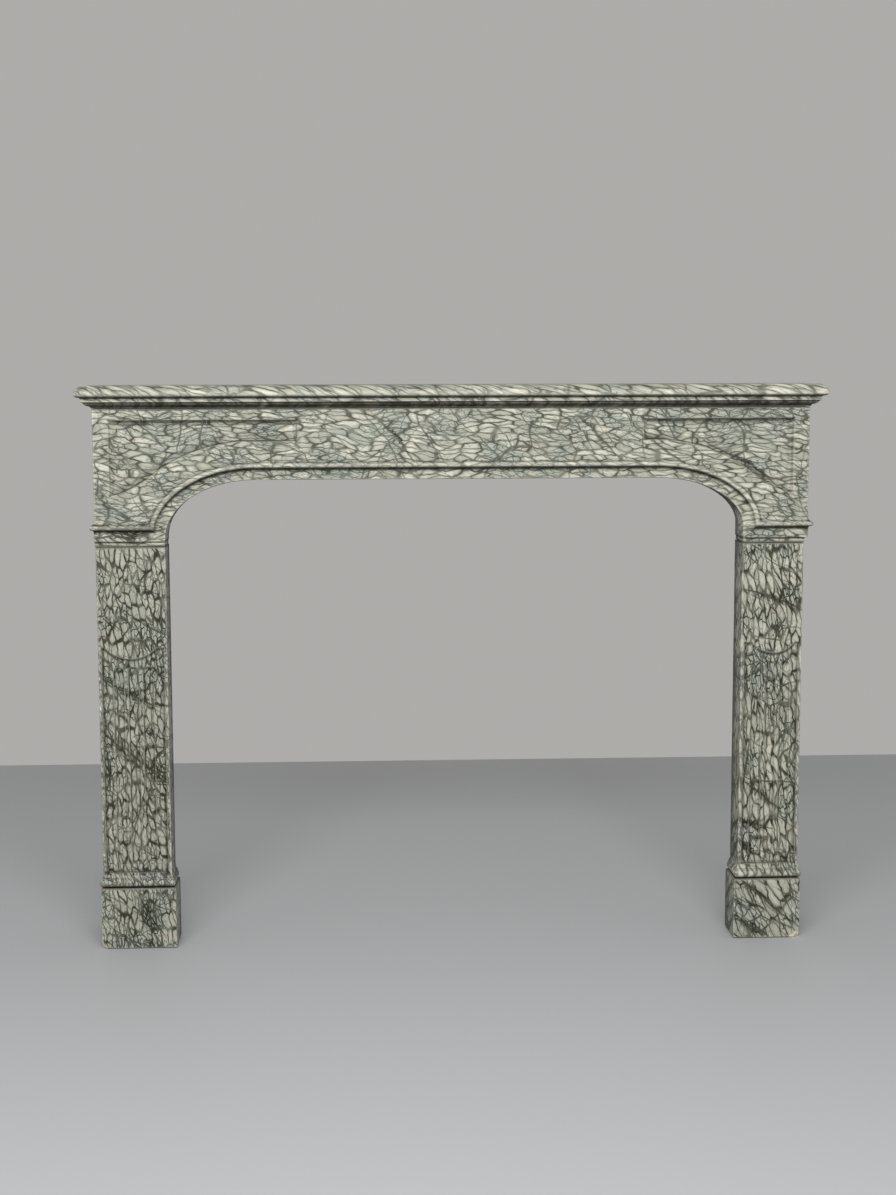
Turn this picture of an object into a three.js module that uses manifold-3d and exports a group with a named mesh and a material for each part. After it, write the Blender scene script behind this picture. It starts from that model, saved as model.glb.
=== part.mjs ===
// Fireplace mantel of brecciated marble: moulded shelf, shouldered lintel, fluted jambs and plinths.
// Millimetres, +Z up, front towards -Y, standing on the undersides of the plinths.

import * as THREE from "three";
import { mergeVertices } from "three/addons/utils/BufferGeometryUtils.js";
import Module from "manifold-3d";

const wasm = await Module();
wasm.setup();

// Heights of the courses, from the hearth up.
const PLINTH_HEIGHT = 125;
const JAMB_HEIGHT = 688;
const LINTEL_HEIGHT = 272;
const SHELF_HEIGHT = 45;
const JOINT = 0.3;

// Widths, measured from the middle of the opening, and depths behind the frieze's face.
const SHELF_HALF = 740;
const FRIEZE_HALF = 709;
const LEFT_JAMB = { inner: 571, outer: 709 };
const RIGHT_JAMB = { inner: 579, outer: 703 };
const JAMB_SETBACK = 7;
const REVEAL_DEPTH = 86;
const BACK_DEPTH = 170;
const CHEEK_WIDTH = 62;

// The opening's rounded corners: quarter ellipses between the feet and the level crown. The left one starts
// lower.
const CROWN_RISE = 131;
const LEFT_CORNER = { reach: 180, rise: 116 };
const RIGHT_CORNER = { reach: 175, rise: 97 };
const CORNER_STEPS = 20;
const HALVINGS = 40;

// The shelf's profile, from the joint up: fillet, cove, band, groove and a round nose.
const SHELF_FILLET = 4;
const SHELF_FILLET_PROUD = 2;
const SHELF_COVE_HEIGHT = 8;
const SHELF_COVE_REACH = 13;
const SHELF_BAND_PROUD = 19;
const SHELF_BAND_HEIGHT = 6.5;
const SHELF_GROOVE_SINK = 3;
const SHELF_GROOVE_HEIGHT = 2.5;
const NOSE_UNDER_HEIGHT = 6.5;
const NOSE_UNDER_REACH = 9;
const NOSE_TOP_REACH = 20;

// Moulding that runs along the lintel's lower edge: fascia, cove and bead. Under the feet is a neck.
const NECK_HEIGHT = 10;
const NECK_PROUD = 1;
const FASCIA_WIDTH = 14;
const FASCIA_SINK = 4;
const COVE_WIDTH = 9;
const BEAD_RADIUS = 5.5;
const BEAD_PROUD = 4;
const FLARE_HEIGHT = 22;
const IMPOST_PROUD = 2;

// Sunken spandrel panels of the frieze. Their lower edge falls outwards in a wave, given as pairs of
// [distance from the outer side, depth below the top].
const PANEL_SIDE_MARGIN = 32;
const PANEL_TOP_MARGIN = 23;
const LEFT_PANEL_LENGTH = 368;
const RIGHT_PANEL_LENGTH = 300;
const PANEL_WAVE = [[255, 41], [200, 50], [150, 67], [106, 90], [66, 119], [27, 140], [0, 147]];
const PANEL_WAVE_STEPS = 24;
const PANEL_SINK = 6;
const PANEL_FILLET = 2;
const PANEL_SLOPE = 6;

// Lower panel of each jamb, with the tab that hangs into it and its flutes.
const JAMB_PANEL_MARGIN = 8;
const JAMB_PANEL_FOOT = 30;
const SHOULDER_DROP = 203;
const TAB_INNER_SHOULDER = 14;
const TAB_OUTER_SHOULDER = 6;
const TAB_DROP = 22;
const JAMB_PANEL_SINK = 3;
const JAMB_PANEL_SLOPE = 3;
const JAMB_PANEL_LIP = 1;
const FLUTE_COUNT = 3;
const FLUTE_SPACING = 29;
const FLUTE_WIDTH = 20;
const FLUTE_SINK = 3;
const FLUTE_FLOOR_HALF = 2;
const FLUTE_STEPS = 4;
const FLUTE_MARGIN = 16;

// The jambs' base moulding, from the joint up: torus, fillet and cavetto.
const TORUS_HEIGHT = 15;
const TORUS_PROUD = 7;
const TORUS_SEAT_PROUD = 1;
const BASE_FILLET_HEIGHT = 3;
const BASE_FILLET_PROUD = 4;
const CAVETTO_HEIGHT = 11;

// Plinths, wider than the jambs, and the broken corner of the right one.
const PLINTH_INNER_LAP = 9;
const PLINTH_OUTER_LAP = 4;
const PLINTH_FRONT_LAP = 11;
const PLINTH_ARRIS = 3;
const CHIP_WIDTH = 20;
const CHIP_HEIGHT = 16;
const CHIP_DEPTH = 8;

const ARC_STEPS = 8;
const SLACK = 20;
const MERGE_DISTANCE = 1e-3;

const JAMB_FOOT_Z = PLINTH_HEIGHT + JOINT;
const LINTEL_FOOT_Z = PLINTH_HEIGHT + JAMB_HEIGHT + JOINT;
const SHELF_FOOT_Z = PLINTH_HEIGHT + JAMB_HEIGHT + LINTEL_HEIGHT + JOINT;
const LINTEL_TOP_Z = SHELF_FOOT_Z - JOINT;
const CROWN_Z = LINTEL_FOOT_Z + CROWN_RISE;
const FOOT_EDGE_Z = LINTEL_FOOT_Z + NECK_HEIGHT;
const BEAD_LINE = FASCIA_WIDTH + COVE_WIDTH + BEAD_RADIUS;

const marble = (color, roughness) => new THREE.MeshStandardMaterial({ color, roughness, metalness: 0 });
const vec = (x, z) => new THREE.Vector2(x, z);
const jambAt = (side) => (side < 0 ? LEFT_JAMB : RIGHT_JAMB);

// Booleans between closed geometries

function toSolid(geometry) {
  geometry.deleteAttribute("normal");
  geometry.deleteAttribute("uv");
  const merged = mergeVertices(geometry, MERGE_DISTANCE);
  const vertProperties = new Float32Array(merged.attributes.position.array);
  const triVerts = new Uint32Array(merged.index.array);
  return new wasm.Manifold(new wasm.Mesh({ numProp: 3, vertProperties, triVerts }));
}

function toGeometry(solid) {
  const mesh = solid.getMesh();
  const geometry = new THREE.BufferGeometry();
  geometry.setAttribute("position", new THREE.BufferAttribute(new Float32Array(mesh.vertProperties), 3));
  geometry.setIndex(new THREE.BufferAttribute(new Uint32Array(mesh.triVerts), 1));
  geometry.computeVertexNormals();
  return geometry;
}

function box(x0, x1, y0, y1, z0, z1) {
  const geometry = new THREE.BoxGeometry(x1 - x0, y1 - y0, z1 - z0);
  geometry.translate((x0 + x1) / 2, (y0 + y1) / 2, (z0 + z1) / 2);
  return toSolid(geometry);
}

function extrude(outline, length) {
  return new THREE.ExtrudeGeometry(new THREE.Shape(outline), { depth: length, bevelEnabled: false });
}

// A prism whose (y, z) outline runs along X.
function prismAlongX(outline, x0, x1) {
  const geometry = extrude(outline, x1 - x0);
  const axes = new THREE.Matrix4().makeBasis(
    new THREE.Vector3(0, 1, 0),
    new THREE.Vector3(0, 0, 1),
    new THREE.Vector3(1, 0, 0),
  );
  return toSolid(geometry.applyMatrix4(axes).translate(x0, 0, 0));
}

// A prism whose (x, z) outline runs along Y.
function prismAlongY(outline, y0, y1) {
  const geometry = extrude(outline, y1 - y0);
  const axes = new THREE.Matrix4().makeBasis(
    new THREE.Vector3(1, 0, 0),
    new THREE.Vector3(0, 0, 1),
    new THREE.Vector3(0, -1, 0),
  );
  return toSolid(geometry.applyMatrix4(axes).translate(0, y1, 0));
}

// A closed solid through rings of equal length, with flat ends that flatten() lays out in the plane.
function loft(rings, flatten) {
  const count = rings[0].length;
  const positions = rings.flat().flatMap((point) => [point.x, point.y, point.z]);
  const triangles = [];
  for (let ring = 0; ring + 1 < rings.length; ring += 1) {
    for (let i = 0; i < count; i += 1) {
      const a = ring * count + i;
      const b = ring * count + ((i + 1) % count);
      triangles.push([a, b, b + count], [a, b + count, a + count]);
    }
  }
  const last = (rings.length - 1) * count;
  const endFaces = (ring) => THREE.ShapeUtils.triangulateShape(ring.map(flatten), []);
  const clockwise = THREE.ShapeUtils.isClockWise(rings[0].map(flatten));
  const orient = ([a, b, c]) => (clockwise ? [a, c, b] : [a, b, c]);
  endFaces(rings[0]).forEach((face) => triangles.push(orient(face).reverse()));
  endFaces(rings[rings.length - 1]).forEach((face) => triangles.push(orient(face).map((i) => i + last)));
  const geometry = new THREE.BufferGeometry();
  geometry.setAttribute("position", new THREE.Float32BufferAttribute(positions, 3));
  geometry.setIndex(triangles.flat());
  const solid = toSolid(geometry);
  return solid.volume() > 0 ? solid : loft([...rings].reverse(), flatten);
}

// Outlines

function arc(cx, cz, rx, rz, from, to, steps = ARC_STEPS) {
  return Array.from({ length: steps + 1 }, (_, i) => {
    const angle = THREE.MathUtils.degToRad(from + ((to - from) * i) / steps);
    return vec(cx + rx * Math.cos(angle), cz + rz * Math.sin(angle));
  });
}

// Moves a closed outline inwards, with mitred corners.
function inset(outline, distance) {
  const left = (a, b) => vec(a.y - b.y, b.x - a.x).normalize();
  return outline.map((point, i) => {
    const n1 = left(outline.at(i - 1), point);
    const n2 = left(point, outline[(i + 1) % outline.length]);
    return point.clone().addScaledVector(n1.clone().add(n2), distance / (1 + n1.dot(n2)));
  });
}

// A recess in a face at depth faceY: steps lists [inset, depth] pairs from the mouth to the floor.
function recess(outline, faceY, steps) {
  const rings = steps.map(([distance, depth]) =>
    inset(outline, distance).map((p) => new THREE.Vector3(p.x, faceY + depth, p.y)),
  );
  return loft(rings, (p) => vec(p.x, p.z));
}

const mirrorX = (outline) => outline.map((p) => vec(-p.x, p.y)).reverse();

// A moulding's profile is a list of (projection, height) points, bottom first. The block has it on its
// front and both sides, with mitred corners.
function mouldedBlock(x0, x1, frontY, backY, profile) {
  const bottom = profile[0].y;
  const top = profile[profile.length - 1].y;
  const front = profile.map((p) => vec(frontY - p.x, p.y)).reverse();
  const section = [vec(backY, top), ...front, vec(backY, bottom)];
  const left = profile.map((p) => vec(x0 - p.x, p.y)).reverse();
  const right = profile.map((p) => vec(x1 + p.x, p.y));
  const elevation = [...left, ...right];
  return prismAlongX(section, x0 - 2 * SLACK, x1 + 2 * SLACK).intersect(
    prismAlongY(elevation, frontY - 2 * SLACK, backY + SLACK),
  );
}

// Shelf

function shelfProfile() {
  const projection = SHELF_HALF - FRIEZE_HALF;
  const cove = SHELF_FOOT_Z + SHELF_FILLET;
  const band = cove + SHELF_COVE_HEIGHT;
  const groove = band + SHELF_BAND_HEIGHT;
  const grooveFace = SHELF_BAND_PROUD - SHELF_GROOVE_SINK;
  const nose = groove + SHELF_GROOVE_HEIGHT + NOSE_UNDER_HEIGHT;
  const noseTop = SHELF_FOOT_Z + SHELF_HEIGHT - nose;
  return [
    vec(SHELF_FILLET_PROUD, SHELF_FOOT_Z),
    vec(SHELF_FILLET_PROUD, cove),
    ...arc(SHELF_FILLET_PROUD, band, SHELF_COVE_REACH, SHELF_COVE_HEIGHT, -90, 0).slice(1),
    vec(SHELF_BAND_PROUD, band),
    vec(SHELF_BAND_PROUD, groove),
    vec(grooveFace, groove),
    vec(grooveFace, groove + SHELF_GROOVE_HEIGHT),
    ...arc(projection - NOSE_UNDER_REACH, nose, NOSE_UNDER_REACH, NOSE_UNDER_HEIGHT, -90, 0),
    ...arc(projection - NOSE_TOP_REACH, nose, NOSE_TOP_REACH, noseTop, 0, 90).slice(1),
  ];
}

function shelf() {
  return mouldedBlock(-FRIEZE_HALF, FRIEZE_HALF, 0, BACK_DEPTH, shelfProfile());
}

// Lintel

// A point at a distance outside the opening's corner, which runs from the crown at 90 degrees to the
// side at 180 and from there straight down.
function cornerPoint(inner, { reach, rise }, degrees, distance) {
  const angle = THREE.MathUtils.degToRad(degrees);
  const spring = CROWN_Z - rise;
  if (degrees > 180) return vec(-inner - distance, spring - rise * (angle - Math.PI));
  const outwards = vec(Math.cos(angle) / reach, Math.sin(angle) / rise).normalize();
  const edge = vec(reach * (1 + Math.cos(angle)) - inner, spring + rise * Math.sin(angle));
  return edge.addScaledVector(outwards, distance);
}

// A line at a distance above the lower edge, from the left foot round the opening to the right foot. On
// each side the corner's part starts where it meets the foot's, so the two are mitred.
function lowerEdge(distance) {
  const level = FOOT_EDGE_Z + distance;
  const side = ({ inner }, corner) => {
    let crown = 90;
    let foot = 270;
    for (let i = 0; i < HALVINGS; i += 1) {
      const middle = (crown + foot) / 2;
      if (cornerPoint(inner, corner, middle, distance).y > level) crown = middle;
      else foot = middle;
    }
    const round = Array.from({ length: CORNER_STEPS + 1 }, (_, i) =>
      cornerPoint(inner, corner, foot + ((90 - foot) * i) / CORNER_STEPS, distance),
    );
    return [vec(-FRIEZE_HALF - SLACK, level), ...round];
  };
  return [...side(LEFT_JAMB, LEFT_CORNER), ...mirrorX(side(RIGHT_JAMB, RIGHT_CORNER))];
}

// The edge moulding as (distance from the edge, height above the face).
function edgeProfile() {
  return [
    vec(0, -FASCIA_SINK),
    ...arc(FASCIA_WIDTH, BEAD_PROUD, COVE_WIDTH, BEAD_PROUD + FASCIA_SINK, -90, 0),
    ...arc(BEAD_LINE, BEAD_PROUD, BEAD_RADIUS, BEAD_RADIUS, 180, 0).slice(1),
    vec(BEAD_LINE + BEAD_RADIUS, 0),
  ];
}

function edgeMoulding() {
  const profile = edgeProfile();
  const outermost = profile[profile.length - 1].x;
  const back = [vec(outermost, SLACK - REVEAL_DEPTH), vec(BEAD_LINE, -REVEAL_DEPTH), vec(0, -REVEAL_DEPTH)];
  const lines = [...profile, ...back].map((s) =>
    lowerEdge(s.x).map((p) => new THREE.Vector3(p.x, -s.y, p.y)),
  );
  const rings = lines[0].map((_, i) => lines.map((line) => line[i]));
  return loft(rings, (p) => vec(p.y, p.z));
}

// The feet flare out towards the bead, as (projection, height) points.
function flareProfile() {
  const beadTop = FOOT_EDGE_Z + BEAD_LINE + BEAD_RADIUS;
  return arc(BEAD_PROUD, beadTop + FLARE_HEIGHT, BEAD_PROUD, FLARE_HEIGHT, -90, -180);
}

function flareStrip(x0, x1) {
  const flare = flareProfile();
  const sunk = 2;
  const low = flare[0].y - sunk;
  const top = flare[flare.length - 1].y;
  const front = flare.map((p) => vec(-p.x, p.y)).reverse();
  return prismAlongX([vec(sunk, top), ...front, vec(-BEAD_PROUD, low), vec(sunk, low)], x0, x1);
}

// What a lintel end looks like from the front: neck, foot mouldings, flare and a plain side.
function endOutline({ outer }) {
  const neck = outer + NECK_PROUD;
  const band = edgeProfile().filter((p) => p.y > IMPOST_PROUD);
  const foot = [vec(0, IMPOST_PROUD), vec(band[0].x, IMPOST_PROUD), ...band];
  const flare = flareProfile().map((p) => vec(FRIEZE_HALF + p.x, p.y));
  return [
    vec(neck, LINTEL_FOOT_Z),
    vec(neck, FOOT_EDGE_Z),
    ...foot.map((p) => vec(FRIEZE_HALF + p.y, FOOT_EDGE_Z + p.x)),
    ...flare.slice(1),
    vec(FRIEZE_HALF, LINTEL_TOP_Z),
  ];
}

// The half of the lintel that one foot adds behind and under the face, on the side of +X or -X.
function foot(side) {
  const end = FRIEZE_HALF + SLACK;
  const cheek = FRIEZE_HALF - CHEEK_WIDTH;
  const { inner } = jambAt(side);
  const across = (from, to) => (side > 0 ? [from, to] : [-to, -from]);
  const neck = across(inner + NECK_PROUD, end);
  const neckFront = JAMB_SETBACK - NECK_PROUD;
  const neckTop = FOOT_EDGE_Z + FASCIA_WIDTH / 2;
  return box(...across(cheek, end), REVEAL_DEPTH - SLACK, BACK_DEPTH, LINTEL_FOOT_Z, LINTEL_TOP_Z)
    .add(box(...neck, neckFront, REVEAL_DEPTH - NECK_PROUD, LINTEL_FOOT_Z, neckTop))
    .add(flareStrip(...across(inner + BEAD_LINE - BEAD_RADIUS / 2, end)));
}

function spandrelPanel(length) {
  const outer = FRIEZE_HALF - PANEL_SIDE_MARGIN;
  const top = LINTEL_TOP_Z - PANEL_TOP_MARGIN;
  const inner = outer - length;
  const wave = PANEL_WAVE.map(([reach, depth]) => vec(outer - reach, top - depth));
  return [
    vec(outer, top),
    vec(inner, top),
    vec(inner, wave[0].y),
    ...new THREE.SplineCurve(wave).getPoints(PANEL_WAVE_STEPS),
  ];
}

function lintel() {
  const end = FRIEZE_HALF + SLACK;
  const face = [vec(end, LINTEL_TOP_Z), vec(-end, LINTEL_TOP_Z), ...lowerEdge(BEAD_LINE)];
  const ends = [...endOutline(RIGHT_JAMB), ...mirrorX(endOutline(LEFT_JAMB))];
  const elevation = prismAlongY(ends, -2 * SLACK, BACK_DEPTH + SLACK);
  const block = prismAlongY(face, 0, REVEAL_DEPTH).add(edgeMoulding()).add(foot(-1)).add(foot(1));
  const steps = [
    [0, -SLACK],
    [0, PANEL_FILLET],
    [PANEL_FILLET, PANEL_FILLET],
    [PANEL_FILLET + PANEL_SLOPE / 3, (PANEL_FILLET + PANEL_SINK) / 2],
    [PANEL_FILLET + PANEL_SLOPE, PANEL_SINK],
  ];
  return block
    .intersect(elevation)
    .subtract(recess(spandrelPanel(RIGHT_PANEL_LENGTH), 0, steps))
    .subtract(recess(mirrorX(spandrelPanel(LEFT_PANEL_LENGTH)), 0, steps));
}

// Jambs

function baseProfile() {
  const fillet = JAMB_FOOT_Z + TORUS_HEIGHT;
  const cavetto = fillet + BASE_FILLET_HEIGHT;
  const half = TORUS_HEIGHT / 2;
  const hollowTop = cavetto + CAVETTO_HEIGHT;
  const hollow = arc(BASE_FILLET_PROUD, hollowTop, BASE_FILLET_PROUD, CAVETTO_HEIGHT, -90, -180);
  return [
    ...arc(TORUS_SEAT_PROUD, JAMB_FOOT_Z + half, TORUS_PROUD - TORUS_SEAT_PROUD, half, -90, 90),
    vec(BASE_FILLET_PROUD, fillet),
    vec(BASE_FILLET_PROUD, cavetto),
    ...hollow.slice(1),
    vec(0, LINTEL_FOOT_Z - JOINT),
  ];
}

function jambPanel(side) {
  const low = JAMB_FOOT_Z + JAMB_PANEL_FOOT;
  const shoulder = LINTEL_FOOT_Z - SHOULDER_DROP;
  const inner = jambAt(side).inner + JAMB_PANEL_MARGIN;
  const outer = jambAt(side).outer - JAMB_PANEL_MARGIN;
  const tabInner = inner + TAB_INNER_SHOULDER;
  const tabOuter = outer - TAB_OUTER_SHOULDER;
  const half = (tabOuter - tabInner) / 2;
  const radius = (half ** 2 + TAB_DROP ** 2) / (2 * TAB_DROP);
  const spread = THREE.MathUtils.radToDeg(Math.asin(half / radius));
  const tabZ = shoulder + radius - TAB_DROP;
  const tab = arc(tabInner + half, tabZ, radius, radius, -90 + spread, -90 - spread, 2 * ARC_STEPS);
  const outline = [vec(inner, low), vec(outer, low), vec(outer, shoulder), ...tab, vec(inner, shoulder)];
  return side < 0 ? mirrorX(outline) : outline;
}

// A flute's outline, round at both ends.
function flute(x) {
  const radius = FLUTE_WIDTH / 2;
  const low = JAMB_FOOT_Z + JAMB_PANEL_FOOT + FLUTE_MARGIN + radius;
  const high = LINTEL_FOOT_Z - SHOULDER_DROP - TAB_DROP - FLUTE_MARGIN - radius;
  return [...arc(x, high, radius, radius, 0, 180), ...arc(x, low, radius, radius, 180, 360)];
}

// A flute's hollow, as the [inset, depth] pairs of a recess.
function fluteSteps() {
  const reach = FLUTE_WIDTH / 2 - FLUTE_FLOOR_HALF;
  const hollow = arc(reach, 0, reach, FLUTE_SINK, 180, 90, FLUTE_STEPS);
  return [[0, -FLUTE_SINK], ...hollow.map((p) => [p.x, p.y])];
}

function jamb(side) {
  const { inner, outer } = jambAt(side);
  const centreX = (side * (inner + outer)) / 2;
  const width = outer - inner;
  const x0 = centreX - width / 2;
  const x1 = centreX + width / 2;
  const cheek = FRIEZE_HALF - CHEEK_WIDTH;
  const rebate = side < 0 ? [-cheek, x1 + SLACK] : [x0 - SLACK, cheek];
  const floor = JAMB_SETBACK + JAMB_PANEL_SINK;
  const panelSteps = [[0, -SLACK], [0, JAMB_PANEL_LIP], [JAMB_PANEL_SLOPE, JAMB_PANEL_SINK]];
  let block = mouldedBlock(x0, x1, JAMB_SETBACK, BACK_DEPTH, baseProfile())
    .subtract(box(...rebate, REVEAL_DEPTH, BACK_DEPTH + SLACK, 0, LINTEL_TOP_Z))
    .subtract(recess(jambPanel(side), JAMB_SETBACK, panelSteps));
  for (let i = 0; i < FLUTE_COUNT; i += 1) {
    const x = centreX + (i - (FLUTE_COUNT - 1) / 2) * FLUTE_SPACING;
    block = block.subtract(recess(flute(x), floor, fluteSteps()));
  }
  return block;
}

// Plinths

function plinth(side) {
  const inner = jambAt(side).inner - PLINTH_INNER_LAP + PLINTH_ARRIS;
  const outer = jambAt(side).outer + PLINTH_OUTER_LAP - PLINTH_ARRIS;
  const front = JAMB_SETBACK - PLINTH_FRONT_LAP + PLINTH_ARRIS;
  const cheek = FRIEZE_HALF - CHEEK_WIDTH - PLINTH_INNER_LAP;
  const reveal = REVEAL_DEPTH - PLINTH_ARRIS;
  const back = BACK_DEPTH - PLINTH_ARRIS;
  const plan = [
    vec(inner, front),
    vec(outer, front),
    vec(outer, back),
    vec(cheek, back),
    vec(cheek, reveal),
    vec(inner, reveal),
  ];
  const geometry = new THREE.ExtrudeGeometry(new THREE.Shape(side < 0 ? mirrorX(plan) : plan), {
    depth: PLINTH_HEIGHT - 2 * PLINTH_ARRIS,
    bevelThickness: PLINTH_ARRIS,
    bevelSize: PLINTH_ARRIS,
    bevelSegments: 2,
  });
  return toSolid(geometry.translate(0, 0, PLINTH_ARRIS));
}

// The broken lower corner: a wedge across the outer front edge of the right plinth.
function brokenCorner() {
  const x = RIGHT_JAMB.outer + PLINTH_OUTER_LAP;
  const y = JAMB_SETBACK - PLINTH_FRONT_LAP;
  const past = SLACK;
  const scale = (reach) => reach * (1 + past / CHIP_HEIGHT);
  const foot = -past;
  const low = [
    new THREE.Vector3(x - scale(CHIP_WIDTH), y - past, foot),
    new THREE.Vector3(x + past, y - past, foot),
    new THREE.Vector3(x + past, y + scale(CHIP_DEPTH), foot),
  ];
  const midway = (p) => new THREE.Vector3((p.x + x + past) / 2, (p.y + y - past) / 2, CHIP_HEIGHT / 2);
  const high = low.map(midway);
  return loft([low, high], (p) => vec(p.x, p.y));
}

// Assembly

const mantel = new THREE.Group();

function place(name, solid, material) {
  const mesh = new THREE.Mesh(toGeometry(solid), material);
  mesh.name = name;
  mantel.add(mesh);
}

place("shelf", shelf(), marble(0xb9bdaf, 0.3));
place("lintel", lintel(), marble(0xa3aaa0, 0.32));
place("left_jamb", jamb(-1), marble(0x9fa495, 0.34));
place("right_jamb", jamb(1), marble(0xa1a697, 0.34));
place("left_plinth", plinth(-1), marble(0x989d8e, 0.4));
place("right_plinth", plinth(1).subtract(brokenCorner()), marble(0xa0a494, 0.4));

// The origin is on the hearth, under the middle of the shelf.
mantel.position.y = (SHELF_HALF - FRIEZE_HALF - BACK_DEPTH) / 2;

export default mantel;
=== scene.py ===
"""Marble fireplace mantel: worn stone pieces with a breccia finish, and a plain studio around them."""

import math
from dataclasses import dataclass

import bmesh
import bpy
import numpy as np
from bpy.props import FloatProperty, FloatVectorProperty, PointerProperty
from bpy.types import Operator, Panel, PropertyGroup
from mathutils import Euler, Matrix, Vector
from mathutils.kdtree import KDTree


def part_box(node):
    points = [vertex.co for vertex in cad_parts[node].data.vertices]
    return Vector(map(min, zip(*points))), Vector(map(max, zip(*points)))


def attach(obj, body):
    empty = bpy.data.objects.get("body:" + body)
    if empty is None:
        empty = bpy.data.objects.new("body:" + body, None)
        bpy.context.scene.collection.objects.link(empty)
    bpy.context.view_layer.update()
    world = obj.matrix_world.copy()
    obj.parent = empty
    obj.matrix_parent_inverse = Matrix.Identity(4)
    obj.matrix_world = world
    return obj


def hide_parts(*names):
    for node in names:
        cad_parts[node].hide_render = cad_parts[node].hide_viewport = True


bl_info = {
    "name": "Marble Mantel",
    "version": (1, 0, 0),
    "blender": (4, 5, 0),
    "location": "3D View > Sidebar > Mantel",
    "description": "Dresses the packed mantel as worn brecciated marble",
    "category": "Add Mesh",
}

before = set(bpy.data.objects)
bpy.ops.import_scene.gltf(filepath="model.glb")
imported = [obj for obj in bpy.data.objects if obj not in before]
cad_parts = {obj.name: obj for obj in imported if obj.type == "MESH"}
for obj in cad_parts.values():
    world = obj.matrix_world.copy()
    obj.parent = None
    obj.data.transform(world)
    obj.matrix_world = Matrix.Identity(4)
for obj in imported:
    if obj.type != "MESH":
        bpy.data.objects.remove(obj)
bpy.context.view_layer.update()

MILLIMETRE = 0.001

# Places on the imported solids, in metres. The jambs' shafts and the frieze stand back from their mouldings.
JAMB_FRONT_Y = -0.0625
JAMB_OUTER_X = {"left": -0.709, "right": 0.703}
FRIEZE_Y = -0.0695
PLINTH_FRONT_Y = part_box("left_plinth")[0].y
PLINTH_OUTER_X = {"left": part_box("left_plinth")[0].x, "right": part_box("right_plinth")[1].x}
JOINTS_Z = [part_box(node)[0].z for node in ("shelf", "lintel", "left_jamb")]
SHELF_FOOT_Z = JOINTS_Z[0]

# Heights between which the outer edges are chipped, with a more bruised stretch on the left jamb.
JAMB_CHIPS_Z = (0.17, 0.8)
LEFT_JAMB_BRUISE_Z = (0.46, 0.6)
PLINTH_CHIPS_Z = (0.0, 0.12)

# Which way the worn corner of the left plinth and the broken one of the right plinth face.
WORN_FACING = (-1, -1, -1)
BREAK_FACING = (0.34, -0.84, -0.42)

# Creases bent by less than the first hold no painted line of dirt and shade, and those bent by the second
# hold a full one.
CREASE_BEND = math.radians(24)
FULL_CREASE_BEND = math.radians(60)
CREASE_SPACING = 1 * MILLIMETRE

# Sizes of the patches in which edges are rounded, of the roughness of a break and of the waves in the faces.
ROUNDING_PATCH = 0.035
BREAK_ROUGHNESS = 0.006
LONG_WAVE = 0.07
SHORT_WAVE = 0.02

# Shares of a piece's points that are left after thinning out.
KEPT = 0.14
KEPT_PLINTH = 0.16

# How far the grain shifts sideways and upwards for each step towards the back.
GRAIN_SLANT_X = 0.7
GRAIN_SLANT_Z = 0.3

# Sizes of the bends in the grain, and how far the finest ones push it.
SWIRL_SIZE = 0.14
RIPPLE_SIZE = 0.05
WRINKLE_SIZE = 0.018
WRINKLE_PUSH = 0.007

# Length and width of the cells between the long veins and of the dark sweeps.
LONG_CELL = (0.11, 0.05)
SWEEP_CELL = (0.26, 0.045)

# Half the width of the vein that runs along a dark band.
BAND_VEIN = 2.5 * MILLIMETRE

# Sizes of the patches in which small pebbles crowd, veins thicken and veins darken, of the mottling inside
# a pebble and of the grit on bare stone.
CROWD_SIZE = 0.085
THICKENING_SIZE = 0.045
DARKENING_SIZE = 0.02
MOTTLE_SIZE = 0.011
GRIT_SIZE = 0.0025

# Soot lies within this distance of the middle, below the shelf, and thickens from front to back.
SOOT_X = 0.582
SOOT_FADE_X = 0.014
SOOT_STARTS_Y = -0.024
SOOT_FULL_Y = 0.004


def linear(red, green, blue):
    """A scene colour from one given as it looks, in steps of 0 to 255."""
    shares = [step / 255 for step in (red, green, blue)]
    return tuple(s / 12.92 if s <= 0.04045 else ((s + 0.055) / 1.055) ** 2.4 for s in shares)


def colour(name, description, default):
    return FloatVectorProperty(
        name=name, description=description, subtype="COLOR", size=3, min=0.0, max=1.0, default=default
    )


def length(name, description, default):
    return FloatProperty(
        name=name, description=description, unit="LENGTH", subtype="DISTANCE", min=0.0, default=default
    )


# Properties


class MarbleProperties(PropertyGroup):
    """Colours of the marble."""

    pebble: colour("Pebble", "Pale heart of a pebble", linear(207, 203, 188))
    shade: colour("Pebble Edge", "Grey-green shade inside a pebble's edge", linear(141, 143, 129))
    vein: colour("Vein", "Dark net between the pebbles", linear(30, 30, 14))
    cloud: colour("Cloud", "Blue-green grey where the small pebbles crowd", linear(133, 142, 134))
    sweep: colour("Sweep", "Dark bands that cross the stone", linear(46, 48, 36))
    # Grime and painted shade: one colour darkens the hollows, creases, joints and the faces that look down.
    grime_and_shade: colour("Grime", "Dirt in the hollows and joints", linear(25, 24, 13))
    soot: colour("Soot", "Smoke on the rear of the reveals", linear(72, 72, 68))
    broken: colour("Broken", "Fresh broken stone", linear(216, 206, 184))
    sawn: colour("Sawn", "Dusty sawn backs", linear(168, 166, 154))


class WearProperties(PropertyGroup):
    """How far the stone has worn."""

    grid: length("Grid", "Spacing of the points that the wear moves", 1.5 * MILLIMETRE)
    hollow: length("Waviness", "Depth of the hand-cut waves in the faces", 0.45 * MILLIMETRE)
    chip: length("Chip", "Depth of the larger chips on the edges", 3.2 * MILLIMETRE)


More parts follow.
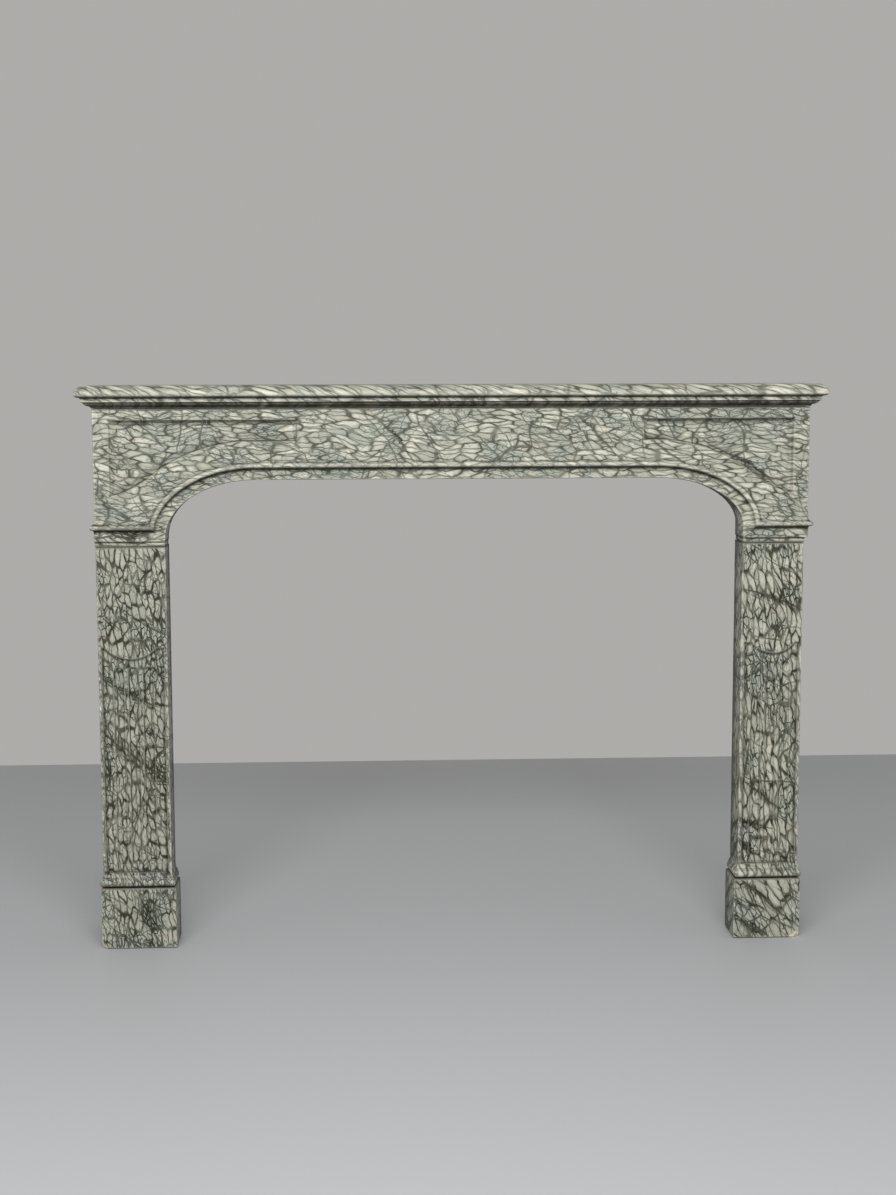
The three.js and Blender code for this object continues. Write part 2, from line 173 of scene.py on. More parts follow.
class StageProperties(PropertyGroup):
    """The floor, the backdrop and the light."""

    floor: colour("Floor", "Colour of the floor", linear(168, 170, 172))
    backdrop: colour("Backdrop", "Colour of the backdrop and of its light", (1.0, 0.985, 0.955))
    key: FloatProperty(
        name="Key Light", description="Power of the overhead light", unit="POWER", min=0.0, default=185.0
    )
    fill: FloatProperty(
        name="Fill", description="Strength of the light from all around", min=0.0, default=0.42
    )


class MantelProperties(PropertyGroup):
    """All settings of the mantel."""

    marble: PointerProperty(type=MarbleProperties)
    wear: PointerProperty(type=WearProperties)
    stage: PointerProperty(type=StageProperties)


# Worn stone


def lattice_noise(points, size, seed):
    """Smooth noise from 0 to 1 at each point, with waves of the given size."""
    cells = 32
    lattice = np.random.default_rng(seed).random((cells, cells, cells))
    scaled = points / size
    low = np.floor(scaled).astype(int)
    share = scaled - low
    share = share * share * (3 - 2 * share)
    value = np.zeros(len(points))
    for corner in np.ndindex(2, 2, 2):
        place = (low + corner) % cells
        weight = np.where(np.array(corner) == 1, share, 1 - share).prod(axis=1)
        value += weight * lattice[place[:, 0], place[:, 1], place[:, 2]]
    return value


def smoothstep(value, low, high):
    share = np.clip((value - low) / (high - low), 0, 1)
    return share * share * (3 - 2 * share)


class Surface:
    """A mesh's points with their neighbours, as arrays."""

    def __init__(self, mesh):
        self.mesh = mesh
        count = len(mesh.vertices)
        self.points = np.empty(count * 3, np.float32)
        mesh.vertices.foreach_get("co", self.points)
        self.points = self.points.reshape(-1, 3).astype(float)
        edges = np.empty(len(mesh.edges) * 2, np.int32)
        mesh.edges.foreach_get("vertices", edges)
        self.start, self.end = edges.reshape(-1, 2).T
        self.degree = np.bincount(self.start, minlength=count) + np.bincount(self.end, minlength=count)

    def relaxed(self, steps):
        """The points after moving each to the middle of its neighbours a number of times."""
        points = self.points.copy()
        count = len(points)
        for _ in range(steps):
            for axis in range(3):
                values = points[:, axis]
                total = np.bincount(self.start, values[self.end], count)
                total += np.bincount(self.end, values[self.start], count)
                points[:, axis] = total / self.degree
        return points

    def normals(self):
        values = np.empty(len(self.points) * 3, np.float32)
        self.mesh.vertices.foreach_get("normal", values)
        return values.reshape(-1, 3).astype(float)

    def store(self):
        self.mesh.vertices.foreach_set("co", self.points.astype(np.float32).ravel())
        self.mesh.update()

    def paint(self, name, values):
        layer = self.mesh.attributes.new(name, "FLOAT", "POINT")
        layer.data.foreach_set("value", values.astype(np.float32))


class Chip:
    """A bit knocked off an edge: where, which way it faced, how deep and how far along."""

    def __init__(self, corner, facing, depth, reach):
        self.corner = np.array(corner, float)
        self.facing = np.array(facing, float) / np.linalg.norm(facing)
        self.depth = depth
        self.reach = reach

    def cut(self, points, rough):
        """How deep the chip cuts each point."""
        offset = points - self.corner
        far = np.linalg.norm(offset, axis=1) / self.reach
        floor = self.depth * np.clip(1 - far**2, 0, 1) * (0.7 + 0.6 * rough)
        return np.where(far < 1, np.clip(offset @ self.facing + floor, 0, None), 0)


def edge_chips(x, y, heights, count, depth, seed):
    """Chips along an upright front edge, deeper ones among many small."""
    draw = np.random.default_rng(seed)
    chips = []
    for z in draw.uniform(*heights, count):
        facing = (math.copysign(draw.uniform(0.6, 1.2), x), -1.0, draw.uniform(-0.5, 0.5))
        deep = depth * draw.uniform(0.25, 1.0) ** 1.5
        chips.append(Chip((x, y, z), facing, deep, deep * draw.uniform(2.2, 4.0)))
    return chips


def apply_modifiers(piece):
    """Gives the piece the mesh that its modifiers make."""
    graph = bpy.context.evaluated_depsgraph_get()
    made = bpy.data.meshes.new_from_object(
        piece.evaluated_get(graph), preserve_all_data_layers=True, depsgraph=graph
    )
    former = piece.data
    piece.modifiers.clear()
    piece.data = made
    bpy.data.meshes.remove(former)
    made.name = piece.name


@dataclass
class DirtAndShade:
    """Shares of dirt and painted shade in upright creases and on top of what stands out, and of painted
    shade on the sills of the panels.
    """

    upright: float = 0.4
    ledge: float = 1.0
    sill_shade: float = 0.0


def crease_points(shape, dirt_and_shade):
    """Points along a mesh's creases, as (place, share of dirt and painted shade, share of painted sill
    shade): most in sharp ones.
    """
    spots = []
    for edge in shape.edges:
        bend = -edge.calc_face_angle_signed(0.0)
        if bend < CREASE_BEND:
            continue
        start, end = (vertex.co for vertex in edge.verts)
        along = end - start
        level = 1 - abs(along.normalized().z)
        share = (dirt_and_shade.upright + (1 - dirt_and_shade.upright) * level) * min(1, bend / FULL_CREASE_BEND)
        sill_shade = 0.0
        # A crease that faces up lies on top of what stands out, or else on a panel's sill.
        if sum(face.normal.z for face in edge.link_faces) > 0.2:
            if start.y < FRIEZE_Y + 0.5 * MILLIMETRE:
                share *= dirt_and_shade.ledge
            else:
                sill_shade = dirt_and_shade.sill_shade * (1 - 0.5 * level)
        count = max(2, int(along.length / CREASE_SPACING))
        spots += [(start.lerp(end, step / count), share, sill_shade) for step in range(count + 1)]
    return spots


def crease_dirt_and_shade(points, spots):
    """How far each point is from the nearest crease, and the share of dirt and painted shade there."""
    tree = KDTree(len(spots))
    for index, spot in enumerate(spots):
        tree.insert(spot[0], index)
    tree.balance()
    nearest = [tree.find(point)[1:] for point in points]
    far = np.array([distance for _, distance in nearest])
    shares = np.array([spots[index][1] for index, _ in nearest])
    sill_shades = np.array([spots[index][2] for index, _ in nearest])
    # A painted line of dirt and shade along each crease, and a wider painted shade on the sunken side of a
    # panel's sill.
    line = shares * (1 - smoothstep(far, 1 * MILLIMETRE, 3.4 * MILLIMETRE))
    sunken = smoothstep(points[:, 1] - FRIEZE_Y, 0.4 * MILLIMETRE, 1.6 * MILLIMETRE)
    shade = sill_shades * sunken * (1 - smoothstep(far, 1 * MILLIMETRE, 9 * MILLIMETRE))
    return far, np.maximum(line, shade)


def wear_down(piece, spots, chips, seed):
    """Rounds the edges unevenly, waves the faces, knocks chips off and marks dirt with painted shade,
    hollows and breaks.
    """
    wear = bpy.context.scene.mantel.wear
    surface = Surface(piece.data)
    far, dirt_and_shade_in_creases = crease_dirt_and_shade(surface.points, spots)
    # The creases' dirt and painted shade are stored for the marble to darken.
    surface.paint("crease", dirt_and_shade_in_creases)
    patchy = lattice_noise(surface.points, ROUNDING_PATCH, seed)
    fine = lattice_noise(surface.points, BREAK_ROUGHNESS, seed + 1)
    rounding = 0.15 + 0.7 * smoothstep(patchy, 0.4, 0.75)
    surface.points += rounding[:, None] * (surface.relaxed(2) - surface.points)
    surface.store()
    waves = 0.65 * lattice_noise(surface.points, LONG_WAVE, seed + 2)
    waves += 0.35 * lattice_noise(surface.points, SHORT_WAVE, seed + 3)
    surface.points -= (wear.hollow * waves)[:, None] * surface.normals()
    broken = np.zeros(len(surface.points))
    for chip in chips:
        depth = chip.cut(surface.points, fine)
        surface.points -= depth[:, None] * chip.facing
        broken = np.maximum(broken, smoothstep(depth, 0.1 * MILLIMETRE, 0.6 * MILLIMETRE))
    surface.store()
    steps = 7
    hollow = ((surface.relaxed(steps) - surface.points) * surface.normals()).sum(axis=1)
    surface.paint("hollow", np.clip(hollow / MILLIMETRE, -1, 1))
    surface.paint("broken", broken)
    open_face = piece.vertex_groups.new(name="open_face")
    weights = smoothstep(far, 2 * MILLIMETRE, 6 * MILLIMETRE)
    for level in range(1, 6):
        members = np.flatnonzero(np.round(weights * 5) == level)
        open_face.add(members.tolist(), level / 5, "REPLACE")


def stone_piece(name, node, keep, dirt_and_shade, chips, seed):
    """A worn copy of a CAD node. Keep is the share of its points left after thinning out the open faces."""
    wear = bpy.context.scene.mantel.wear
    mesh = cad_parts[node].data.copy()
    mesh.materials.clear()
    shape = bmesh.new()
    shape.from_mesh(mesh)
    bmesh.ops.remove_doubles(shape, verts=shape.verts, dist=0.01 * MILLIMETRE)
    spots = crease_points(shape, dirt_and_shade)
    shape.to_mesh(mesh)
    shape.free()
    piece = bpy.data.objects.new(name, mesh)
    bpy.context.scene.collection.objects.link(piece)
    grid = piece.modifiers.new("Grid", "REMESH")
    grid.mode = "VOXEL"
    grid.voxel_size = wear.grid * 1
    apply_modifiers(piece)
    wear_down(piece, spots, chips, seed)
    thin = piece.modifiers.new("Thin", "DECIMATE")
    thin.ratio = keep
    thin.vertex_group = "open_face"
    apply_modifiers(piece)
    piece.data.shade_smooth()
    return piece


# Breccia


class Stone:
    """The nodes of one marble, added and linked by their sockets."""

    def __init__(self, name):
        self.material = bpy.data.materials.new(name)
        self.material.use_nodes = True
        self.tree = self.material.node_tree
        self.tree.nodes.clear()

    def add(self, kind, inputs, **settings):
        """A new node. An input is a value, or a socket to link."""
        node = self.tree.nodes.new(kind)
        for name, value in settings.items():
            setattr(node, name, value)
        for name, value in inputs.items():
            if isinstance(value, bpy.types.NodeSocket):
                self.tree.links.new(value, node.inputs[name])
            else:
                node.inputs[name].default_value = value
        return node

    def math(self, operation, first, second=0.0, third=0.0):
        return self.add("ShaderNodeMath", {0: first, 1: second, 2: third}, operation=operation).outputs[0]

    def times(self, first, second):
        return self.math("MULTIPLY", first, second)

    def plus(self, first, second):
        return self.math("ADD", first, second)

    def larger(self, first, second):
        return self.math("MAXIMUM", first, second)

    def fade(self, value, low, high, start=0.0, stop=1.0):
        """Goes smoothly from start to stop as the value goes from low to high."""
        inputs = {"Value": value, "From Min": low, "From Max": high, "To Min": start, "To Max": stop}
        return self.add("ShaderNodeMapRange", inputs, interpolation_type="SMOOTHSTEP").outputs["Result"]

    def voronoi(self, vector, feature):
        inputs = {"Vector": vector, "Scale": 1.0}
        return self.add("ShaderNodeTexVoronoi", inputs, feature=feature, voronoi_dimensions="2D")

    def noise(self, vector, size, detail=2.0):
        inputs = {"Vector": vector, "Scale": 1 / size, "Detail": detail, "Roughness": 0.55}
        return self.add("ShaderNodeTexNoise", inputs)

    def vector_math(self, operation, inputs, output=0):
        return self.add("ShaderNodeVectorMath", inputs, operation=operation).outputs[output]

    def bend(self, vector, size, amount):
        """Pushes the coordinates about by noise, so that what is drawn in them bends."""
        noise = self.noise(vector, size).outputs["Color"]
        centred = self.vector_math("SUBTRACT", {0: noise, 1: (0.5, 0.5, 0.5)})
        pushed = self.vector_math("SCALE", {0: centred, "Scale": amount})
        return self.vector_math("ADD", {0: vector, 1: pushed})

    def flat(self, vector):
        """The front's x and z as plane coordinates. What is drawn in them runs through to the back."""
        axes = self.add("ShaderNodeSeparateXYZ", {"Vector": vector}).outputs
        behind = self.math("SUBTRACT", axes["Y"], FRIEZE_Y)
        across = self.math("MULTIPLY_ADD", behind, GRAIN_SLANT_X, axes["X"])
        upward = self.math("MULTIPLY_ADD", behind, GRAIN_SLANT_Z, axes["Z"])
        return self.add("ShaderNodeCombineXYZ", {"X": across, "Y": upward}).outputs[0]

    def placed(self, vector, place, slope, size):
        """Plane coordinates in a stretched box. A slope in degrees is how far its long side falls."""
        turn = (0.0, 0.0, -math.radians(slope))
        inputs = {"Vector": vector, "Location": (*place, 0.0), "Rotation": turn, "Scale": (*size, 1.0)}
        return self.add("ShaderNodeMapping", inputs, vector_type="TEXTURE").outputs[0]

    def mix(self, share, first, second):
        mixer = self.add("ShaderNodeMix", {0: share}, data_type="RGBA")
        # The node's two colours are its sockets 6 and 7, and their mix is its output 2.
        for index, value in ((6, first), (7, second)):
            if isinstance(value, bpy.types.NodeSocket):
                self.tree.links.new(value, mixer.inputs[index])
            else:
                mixer.inputs[index].default_value = (*value, 1.0)
        return mixer.outputs[2]

    def painted(self, name):
        return self.add("ShaderNodeAttribute", {}, attribute_name=name).outputs["Fac"]


@dataclass
class Grain:
    """How the stone lies in a piece: angles in degrees, lengths in metres, the rest as shares."""

    # The pebbles: how far their long sides fall to the right, their length and width, and how pale they are.
    turn: float
    pebble: tuple
    heart: float
    # How strongly the grain swirls and ripples.
    bends: tuple
    # The net of veins: thinnest and thickest, how round it leaves the pebbles, and how dark it is.
    veins: tuple
    rounding: float
    vein_share: float
    # How much of the finer net shows, and how far the long veins fall to the right.
    net: float
    long_turn: float
    # Dark bands and clouds of small pebbles, as the ellipses of the function below.
    bands: list
    clouds: list


def ellipses(stone, vector, places):
    """A soft mask of ellipses on the front, each as middle x and z, half length, half width and slope."""
    mask = None
    for x, z, half_length, half_width, slope in places:
        local = stone.placed(vector, (x, z), slope, (half_length, half_width))
        far = stone.vector_math("LENGTH", {0: local}, "Value")
        spot = stone.fade(far, 1.0, 0.3, 0.0, 0.8)
        mask = spot if mask is None else stone.larger(mask, spot)
    return mask


def band_veins(stone, vector, bands):
    """A mask of thin veins, one along each band."""
    mask = None
    for x, z, half_length, _, slope in bands:
        local = stone.placed(vector, (x, z), slope, (half_length, BAND_VEIN))
        axes = stone.add("ShaderNodeSeparateXYZ", {"Vector": local}).outputs
        across = stone.fade(stone.math("ABSOLUTE", axes["Y"]), 1.0, 0.3)
        along = stone.fade(stone.math("ABSOLUTE", axes["X"]), 1.3, 0.7, 0.0, 0.9)
        line = stone.times(across, along)
        mask = line if mask is None else stone.larger(mask, line)
    return mask


def breccia(name, grain):
    """Marble of pale pebbles in a net of dark veins, crossed by dark bands, with grime, painted shade and
    wear.
    """
    marble = bpy.context.scene.mantel.marble
    stone = Stone(name)
    place = stone.add("ShaderNodeTexCoord", {}).outputs["Object"]
    swirl, ripple = grain.bends
    swirled = stone.bend(stone.flat(place), SWIRL_SIZE, swirl)
    rippled = stone.bend(stone.bend(swirled, RIPPLE_SIZE, ripple), WRINKLE_SIZE, WRINKLE_PUSH)
    long, wide = grain.pebble
    bed = stone.placed(rippled, (0.013, 0.021), grain.turn, (long, wide))
    small_bed = stone.placed(rippled, (0.2, 0.3), grain.turn, (0.45 * long, 0.5 * wide))
    long_bed = stone.placed(rippled, (0.1, 0.1), grain.long_turn, LONG_CELL)
    streak_bed = stone.placed(rippled, (0.0, 0.0), grain.turn, (1.6 * long, 0.25 * wide))

    edge = stone.voronoi(bed, "DISTANCE_TO_EDGE").outputs["Distance"]
    small_edge = stone.voronoi(small_bed, "DISTANCE_TO_EDGE").outputs["Distance"]
    long_edge = stone.voronoi(long_bed, "DISTANCE_TO_EDGE").outputs["Distance"]
    cell = stone.voronoi(bed, "F1")
    cell_tone = stone.add("ShaderNodeSeparateColor", {"Color": cell.outputs["Color"]}).outputs[0]

    # Where the small pebbles crowd and where the dark bands run.
    drift = stone.noise(swirled, CROWD_SIZE, 3.0).outputs["Fac"]
    crowd = stone.fade(drift, 0.48, 0.62)
    cloud = ellipses(stone, swirled, grain.clouds)
    if cloud is not None:
        crowd = stone.larger(crowd, cloud)
    band_bed = stone.placed(swirled, (0.0, 0.0), grain.long_turn, SWEEP_CELL)
    sweep = stone.fade(stone.noise(band_bed, 1.0, 3.0).outputs["Fac"], 0.55, 0.75, 0.0, 0.5)
    drawn = ellipses(stone, rippled, grain.bands)
    if drawn is not None:
        sweep = stone.larger(sweep, drawn)

    # The net of veins, thicker in places and at its knots, with a finer net and long crossing veins.
    thick = stone.fade(stone.noise(swirled, THICKENING_SIZE).outputs["Fac"], 0.32, 0.68, *grain.veins)
    thick = stone.plus(thick, stone.times(sweep, 0.1))
    corner = stone.fade(cell.outputs["Distance"], 0.4, 0.8, 0.0, grain.rounding)
    rounded = stone.math("SUBTRACT", edge, corner)
    strength = stone.fade(stone.noise(rippled, DARKENING_SIZE).outputs["Fac"], 0.35, 0.6, 0.55, 1.0)
    strength = stone.larger(strength, sweep)
    vein = stone.times(stone.fade(stone.math("DIVIDE", rounded, thick), 1.0, 0.25), strength)
    presence = stone.fade(drift, 0.38, 0.6, 0.3 * grain.net, grain.net + 0.45)
    presence = stone.plus(presence, stone.times(sweep, 0.6))
    small_thick = stone.fade(sweep, 0.0, 0.9, 0.13, 0.26)
    small_vein = stone.fade(stone.math("DIVIDE", small_edge, small_thick), 1.0, 0.25)
    small_vein = stone.times(small_vein, presence)
    long_share = stone.fade(drift, 0.3, 0.55, 0.25, 0.9)
    long_vein = stone.times(stone.fade(long_edge, 0.036, 0.008), long_share)
    vein = stone.larger(stone.larger(vein, small_vein), long_vein)
    if grain.bands:
        vein = stone.larger(vein, band_veins(stone, rippled, grain.bands))

    # Pebbles, shaded towards their edges and streaked, each with a tone of its own.
    mottle = stone.noise(rippled, MOTTLE_SIZE, 4.0).outputs["Fac"]
    streak = stone.noise(streak_bed, 1.0, 3.0).outputs["Fac"]
    heart = stone.fade(edge, 0.03, 0.34)
    heart = stone.times(heart, stone.fade(cell_tone, 0.0, 0.8, 0.3 * grain.heart, grain.heart))
    heart = stone.times(heart, stone.fade(streak, 0.3, 0.62, 0.35, 1.0))
    tone = stone.mix(heart, tuple(marble.shade), tuple(marble.pebble))
    tone = stone.mix(stone.times(crowd, 0.55), tone, tuple(marble.cloud))
    darkened = stone.times(sweep, 0.22)
    if drawn is not None:
        darkened = stone.larger(darkened, stone.times(drawn, 0.4))
    tone = stone.mix(darkened, tone, tuple(marble.sweep))
    tone = stone.mix(stone.times(vein, grain.vein_share), tone, tuple(marble.vein))

    # Grime and painted shade in the hollows, creases and joints and on faces that look down, paler worn
    # edges, broken stone, soot and the sawn backs.
    hollow = stone.painted("hollow")
    broken = stone.painted("broken")
    axes = stone.add("ShaderNodeSeparateXYZ", {"Vector": place})
    normal = stone.add("ShaderNodeNewGeometry", {}).outputs["Normal"]
    facing = stone.add("ShaderNodeSeparateXYZ", {"Vector": normal})
    # Hollows and creases darken with dirt and painted shade.
    dirt_and_shade = stone.larger(stone.fade(hollow, 0.15, 0.6, 0.0, 0.4), stone.painted("crease"))
    # Faces that look down are darkened with painted shade.
    dirt_and_shade = stone.larger(dirt_and_shade, stone.fade(facing.outputs["Z"], -0.2, -0.75, 0.0, 0.93))
    # Dark lines at the joints: dirt, and painted shadow in the gaps between the pieces.
    for joint in JOINTS_Z:
        away = stone.math("ABSOLUTE", stone.math("SUBTRACT", axes.outputs["Z"], joint))
        dirt_and_shade = stone.larger(dirt_and_shade, stone.fade(away, 4.5 * MILLIMETRE, 2 * MILLIMETRE))
    dirt_and_shade = stone.times(dirt_and_shade, stone.fade(mottle, 0.2, 0.6, 0.75, 1.0))
    # The dirt and the painted shade both mix in the same dark colour.
    tone = stone.mix(stone.times(dirt_and_shade, 0.96), tone, tuple(marble.grime_and_shade))
    rubbed = stone.times(stone.fade(hollow, -0.1, -0.5), 0.2)
    tone = stone.mix(rubbed, tone, tuple(marble.pebble))
    fresh = stone.times(broken, stone.fade(mottle, 0.3, 0.55, 0.75, 1.0))
    tone = stone.mix(fresh, tone, tuple(marble.broken))
    uneven = stone.times(stone.math("SUBTRACT", drift, 0.5), 0.03)
    depth = stone.plus(axes.outputs["Y"], uneven)
    across = stone.math("ABSOLUTE", axes.outputs["X"])
    inside = stone.fade(across, SOOT_X + SOOT_FADE_X, SOOT_X)
    below = stone.fade(axes.outputs["Z"], SHELF_FOOT_Z + 2 * MILLIMETRE, SHELF_FOOT_Z)
    inside = stone.times(inside, below)
    smoke = stone.times(stone.fade(depth, SOOT_STARTS_Y, SOOT_FULL_Y, 0.0, 0.75), inside)
    tone = stone.mix(smoke, tone, tuple(marble.soot))
    behind = stone.fade(facing.outputs["Y"], 0.6, 0.9)
    tone = stone.mix(stone.times(behind, 0.7), tone, tuple(marble.sawn))

    # Polish: dull in the veins, the hollows, the breaks and on the backs.
    rough = stone.fade(mottle, 0.2, 0.8, 0.32, 0.44)
    rough = stone.plus(rough, stone.times(vein, 0.08))
    rough = stone.plus(rough, stone.times(stone.larger(dirt_and_shade, broken), 0.3))
    rough = stone.plus(rough, stone.times(stone.larger(behind, smoke), 0.3))
    grit = stone.noise(place, GRIT_SIZE, 3.0).outputs["Fac"]
    pitted = stone.times(grit, stone.larger(broken, behind))
    height = stone.math("SUBTRACT", stone.times(pitted, 1.5), stone.times(vein, 0.4))
    height = stone.plus(height, stone.times(mottle, 0.25))
    bump = stone.add("ShaderNodeBump", {"Height": height, "Strength": 0.22, "Distance": 0.5 * MILLIMETRE})
    skin = stone.add(
        "ShaderNodeBsdfPrincipled",
        {"Base Color": tone, "Roughness": rough, "Normal": bump.outputs[0], "Specular IOR Level": 0.25},
    )
    stone.add("ShaderNodeOutputMaterial", {"Surface": skin.outputs[0]})
    return stone.material


SHELF_GRAIN = Grain(
    turn=24, pebble=(0.07, 0.014), bends=(0.04, 0.014), veins=(0.05, 0.15), rounding=0.04, net=0.25,
    vein_share=0.78, heart=0.92, long_turn=30, bands=[], clouds=[],
)
LINTEL_GRAIN = Grain(
    turn=4, pebble=(0.036, 0.010), bends=(0.05, 0.013), veins=(0.05, 0.15), rounding=0.06, net=0.33,
    vein_share=0.82, heart=0.86, long_turn=38,
    bands=[
        (-0.11, 1.02, 0.07, 0.006, 50),
        (0.28, 1.031, 0.07, 0.006, 42),
        (0.42, 1.004, 0.07, 0.006, 43),
        (0.588, 0.964, 0.12, 0.006, 36),
        (-0.645, 0.846, 0.1, 0.022, 4),
    ],
    clouds=[(-0.53, 1.01, 0.12, 0.04, 0), (-0.2, 1.03, 0.06, 0.03, 0), (0.61, 1.03, 0.05, 0.05, 0)],
)
LEFT_JAMB_GRAIN = Grain(
    turn=84, pebble=(0.032, 0.0102), bends=(0.035, 0.010), veins=(0.08, 0.25), rounding=0.06, net=0.65,
    vein_share=0.97, heart=0.36, long_turn=38,
    bands=[
        (-0.64, 0.405, 0.1, 0.028, 38),
        (-0.6, 0.37, 0.06, 0.026, 45),
        (-0.64, 0.53, 0.07, 0.016, 25),
    ],
    clouds=[(-0.63, 0.69, 0.03, 0.03, 0), (-0.64, 0.55, 0.08, 0.06, 0)],
)
RIGHT_JAMB_GRAIN = Grain(
    turn=84, pebble=(0.042, 0.0108), bends=(0.035, 0.010), veins=(0.07, 0.21), rounding=0.06, net=0.55,
    vein_share=0.97, heart=0.6, long_turn=38,
    bands=[
        (0.648, 0.70, 0.07, 0.012, 22),
        (0.639, 0.30, 0.06, 0.012, 38),
        (0.611, 0.25, 0.05, 0.012, 21),
        (0.600, 0.195, 0.05, 0.012, 42),
    ],
    clouds=[],
)
LEFT_PLINTH_GRAIN = Grain(
    turn=84, pebble=(0.030, 0.0098), bends=(0.035, 0.010), veins=(0.06, 0.19), rounding=0.06, net=0.5,
    vein_share=0.95, heart=0.42, long_turn=50,
    bands=[(-0.615, 0.07, 0.05, 0.03, 62)],
    clouds=[(-0.61, 0.07, 0.04, 0.05, 0)],
)
RIGHT_PLINTH_GRAIN = Grain(
    turn=62, pebble=(0.05, 0.0150), bends=(0.035, 0.010), veins=(0.05, 0.15), rounding=0.05, net=0.4,
    vein_share=0.95, heart=0.52, long_turn=40,
    bands=[(0.63, 0.08, 0.09, 0.013, 40), (0.6, 0.02, 0.05, 0.015, 30)],
    clouds=[(0.6, 0.03, 0.03, 0.025, 0)],
)


def finish_piece(piece, node, material):
    piece.data.materials.append(material)
    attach(piece, "root")
    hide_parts(node)


# Operators


class MANTEL_OT_shelf(Operator):
    """Makes the moulded shelf"""

    bl_idname = "mantel.shelf"
    bl_label = "Shelf"

    def execute(self, context):
        piece = stone_piece("worn_shelf", "shelf", KEPT, DirtAndShade(), chips=[], seed=11)
        finish_piece(piece, "shelf", breccia("shelf_breccia", SHELF_GRAIN))
        return {"FINISHED"}


class MANTEL_OT_lintel(Operator):
    """Makes the lintel with its sunken panels, arched opening and impost feet"""

    bl_idname = "mantel.lintel"
    bl_label = "Lintel"

    def execute(self, context):
        # The lintel's creases hold dirt and painted shade, and its panel sills painted shade.
        piece = stone_piece("worn_lintel", "lintel", KEPT, DirtAndShade(ledge=0.3, sill_shade=0.65), chips=[], seed=23)
        finish_piece(piece, "lintel", breccia("lintel_breccia", LINTEL_GRAIN))
        return {"FINISHED"}


class MANTEL_OT_jambs(Operator):
    """Makes the two fluted jambs, with their chipped outer edges"""

    bl_idname = "mantel.jambs"
    bl_label = "Jambs"

    def execute(self, context):
        depth = context.scene.mantel.wear.chip
        for side, grain, seed in (("left", LEFT_JAMB_GRAIN, 37), ("right", RIGHT_JAMB_GRAIN, 53)):
            x = JAMB_OUTER_X[side]
            chips = edge_chips(x, JAMB_FRONT_Y, JAMB_CHIPS_Z, count=16, depth=0.6 * depth, seed=seed)
            if side == "left":
                chips += edge_chips(x, JAMB_FRONT_Y, LEFT_JAMB_BRUISE_Z, count=6, depth=depth, seed=seed + 1)
            dirt_and_shade = DirtAndShade(upright=0.8, ledge=0.8)
            piece = stone_piece(f"worn_{side}_jamb", f"{side}_jamb", KEPT, dirt_and_shade, chips, seed)
            finish_piece(piece, f"{side}_jamb", breccia(f"{side}_jamb_breccia", grain))
        return {"FINISHED"}


class MANTEL_OT_plinths(Operator):
    """Makes the two plinths, with worn lower corners and the broken one on the right"""

    bl_idname = "mantel.plinths"
    bl_label = "Plinths"

    def execute(self, context):
        depth = context.scene.mantel.wear.chip
        for side, grain, seed in (("left", LEFT_PLINTH_GRAIN, 71), ("right", RIGHT_PLINTH_GRAIN, 89)):
            x = PLINTH_OUTER_X[side]
            chips = edge_chips(x, PLINTH_FRONT_Y, PLINTH_CHIPS_Z, count=6, depth=0.8 * depth, seed=seed)
            corner = (x, PLINTH_FRONT_Y, 0.0)
            if side == "left":
                chips.append(Chip(corner, WORN_FACING, 3 * depth, 8 * depth))
            else:
                chips.append(Chip(corner, BREAK_FACING, 3 * depth, 19 * depth))
            piece = stone_piece(f"worn_{side}_plinth", f"{side}_plinth", KEPT_PLINTH, DirtAndShade(), chips, seed)
            finish_piece(piece, f"{side}_plinth", breccia(f"{side}_plinth_breccia", grain))
        return {"FINISHED"}


# How far the floor reaches to the front and the sides, and behind.
FLOOR_HALF = 7.0
FLOOR_BACK = 1.75

# The picture that the camera takes, in pixels, and the place that it was taken from.
IMAGE_HEIGHT = 1195
FOCAL_PIXELS = 1900
SENSOR_WIDTH = 36.0
CAMERA_PLACE = Vector((-0.1952, -3.8234, 1.1616))
CAMERA_YAW = math.radians(-2.78)
CAMERA_PITCH = math.radians(6.874)
CAMERA_ROLL = math.radians(-0.15)


def stage_plane(name, corners, tint, roughness):
    mesh = bpy.data.meshes.new(name)
    mesh.from_pydata(corners, [], [(0, 1, 2, 3)])
    material = bpy.data.materials.new(name)
    material.use_nodes = True
    skin = material.node_tree.nodes["Principled BSDF"]
    skin.inputs["Base Color"].default_value = (*tint, 1.0)
    skin.inputs["Roughness"].default_value = roughness
    mesh.materials.append(material)
    stage = bpy.data.objects.new(name, mesh)
    bpy.context.scene.collection.objects.link(stage)


def soft_light(name, place, target, size, power):
    light = bpy.data.lights.new(name, "AREA")
    light.shape = "RECTANGLE"
    light.size, light.size_y = size
    light.energy = power
    lamp = bpy.data.objects.new(name, light)
    lamp.location = place
    lamp.rotation_euler = (Vector(target) - Vector(place)).to_track_quat("-Z", "Y").to_euler()
    bpy.context.scene.collection.objects.link(lamp)


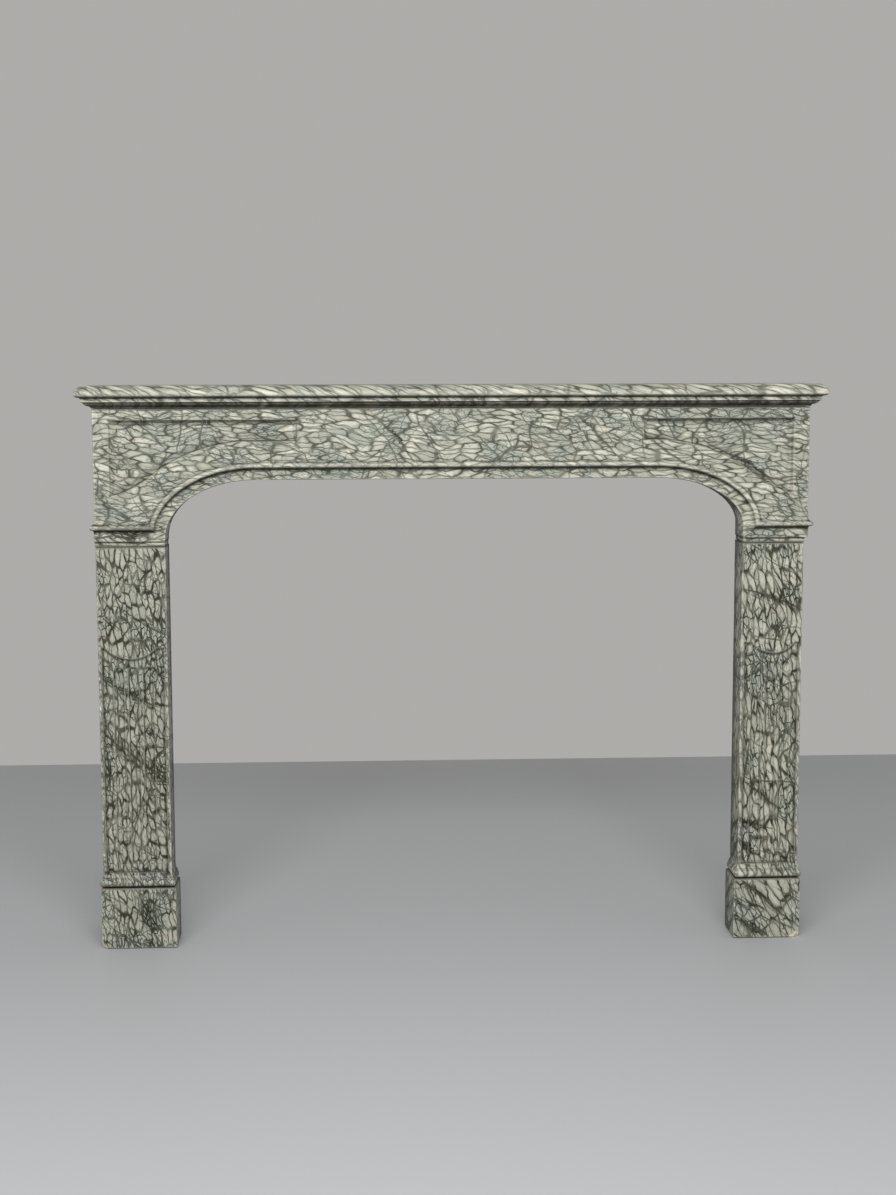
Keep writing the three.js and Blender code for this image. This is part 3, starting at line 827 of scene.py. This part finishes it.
class MANTEL_OT_stage(Operator):
    """Makes the plain floor, the backdrop, the soft light and the camera"""

    bl_idname = "mantel.stage"
    bl_label = "Stage"

    def execute(self, context):
        scene = context.scene
        stage = scene.mantel.stage
        half, back = FLOOR_HALF, FLOOR_BACK
        floor = [(-half, -half, 0), (half, -half, 0), (half, back, 0), (-half, back, 0)]
        stage_plane("floor", floor, stage.floor, roughness=0.55)
        soft_light("overhead", place=(-0.3, -3.4, 2.6), target=(0, 0, 0.6), size=(3.2, 2.0), power=stage.key)
        world = bpy.data.worlds.new("studio")
        world.use_nodes = True
        glow = world.node_tree.nodes["Background"]
        glow.inputs["Color"].default_value = (*stage.backdrop, 1.0)
        glow.inputs["Strength"].default_value = stage.fill
        scene.world = world
        scene.view_settings.view_transform = "Standard"

        lens = bpy.data.cameras.new("viewpoint")
        lens.sensor_width = SENSOR_WIDTH
        lens.lens = SENSOR_WIDTH * FOCAL_PIXELS / IMAGE_HEIGHT
        camera = bpy.data.objects.new("viewpoint", lens)
        turn = Euler((math.pi / 2 - CAMERA_PITCH, 0.0, CAMERA_YAW)).to_matrix()
        turn = turn @ Matrix.Rotation(CAMERA_ROLL, 3, "Z")
        camera.matrix_world = Matrix.Translation(CAMERA_PLACE) @ turn.to_4x4()
        scene.collection.objects.link(camera)
        scene.camera = camera
        return {"FINISHED"}


class MANTEL_PT_sidebar(Panel):
    """Settings and makers of the mantel"""

    bl_idname = "MANTEL_PT_sidebar"
    bl_label = "Marble Mantel"
    bl_space_type = "VIEW_3D"
    bl_region_type = "UI"
    bl_category = "Mantel"

    def draw(self, context):
        settings = context.scene.mantel
        for group in (settings.marble, settings.wear, settings.stage):
            column = self.layout.box().column()
            for name in group.__annotations__:
                column.prop(group, name)
        for operator in OPERATORS:
            self.layout.operator(operator.bl_idname)


OPERATORS = (MANTEL_OT_shelf, MANTEL_OT_lintel, MANTEL_OT_jambs, MANTEL_OT_plinths, MANTEL_OT_stage)
CLASSES = (
    MarbleProperties,
    WearProperties,
    StageProperties,
    MantelProperties,
    *OPERATORS,
    MANTEL_PT_sidebar,
)


def register():
    for item in CLASSES:
        bpy.utils.register_class(item)
    bpy.types.Scene.mantel = PointerProperty(type=MantelProperties)


def unregister():
    del bpy.types.Scene.mantel
    for item in reversed(CLASSES):
        bpy.utils.unregister_class(item)


def main():
    register()
    bpy.ops.mantel.stage()
    bpy.ops.mantel.shelf()
    bpy.ops.mantel.lintel()
    bpy.ops.mantel.jambs()
    bpy.ops.mantel.plinths()


if __name__ == "__main__":
    main()
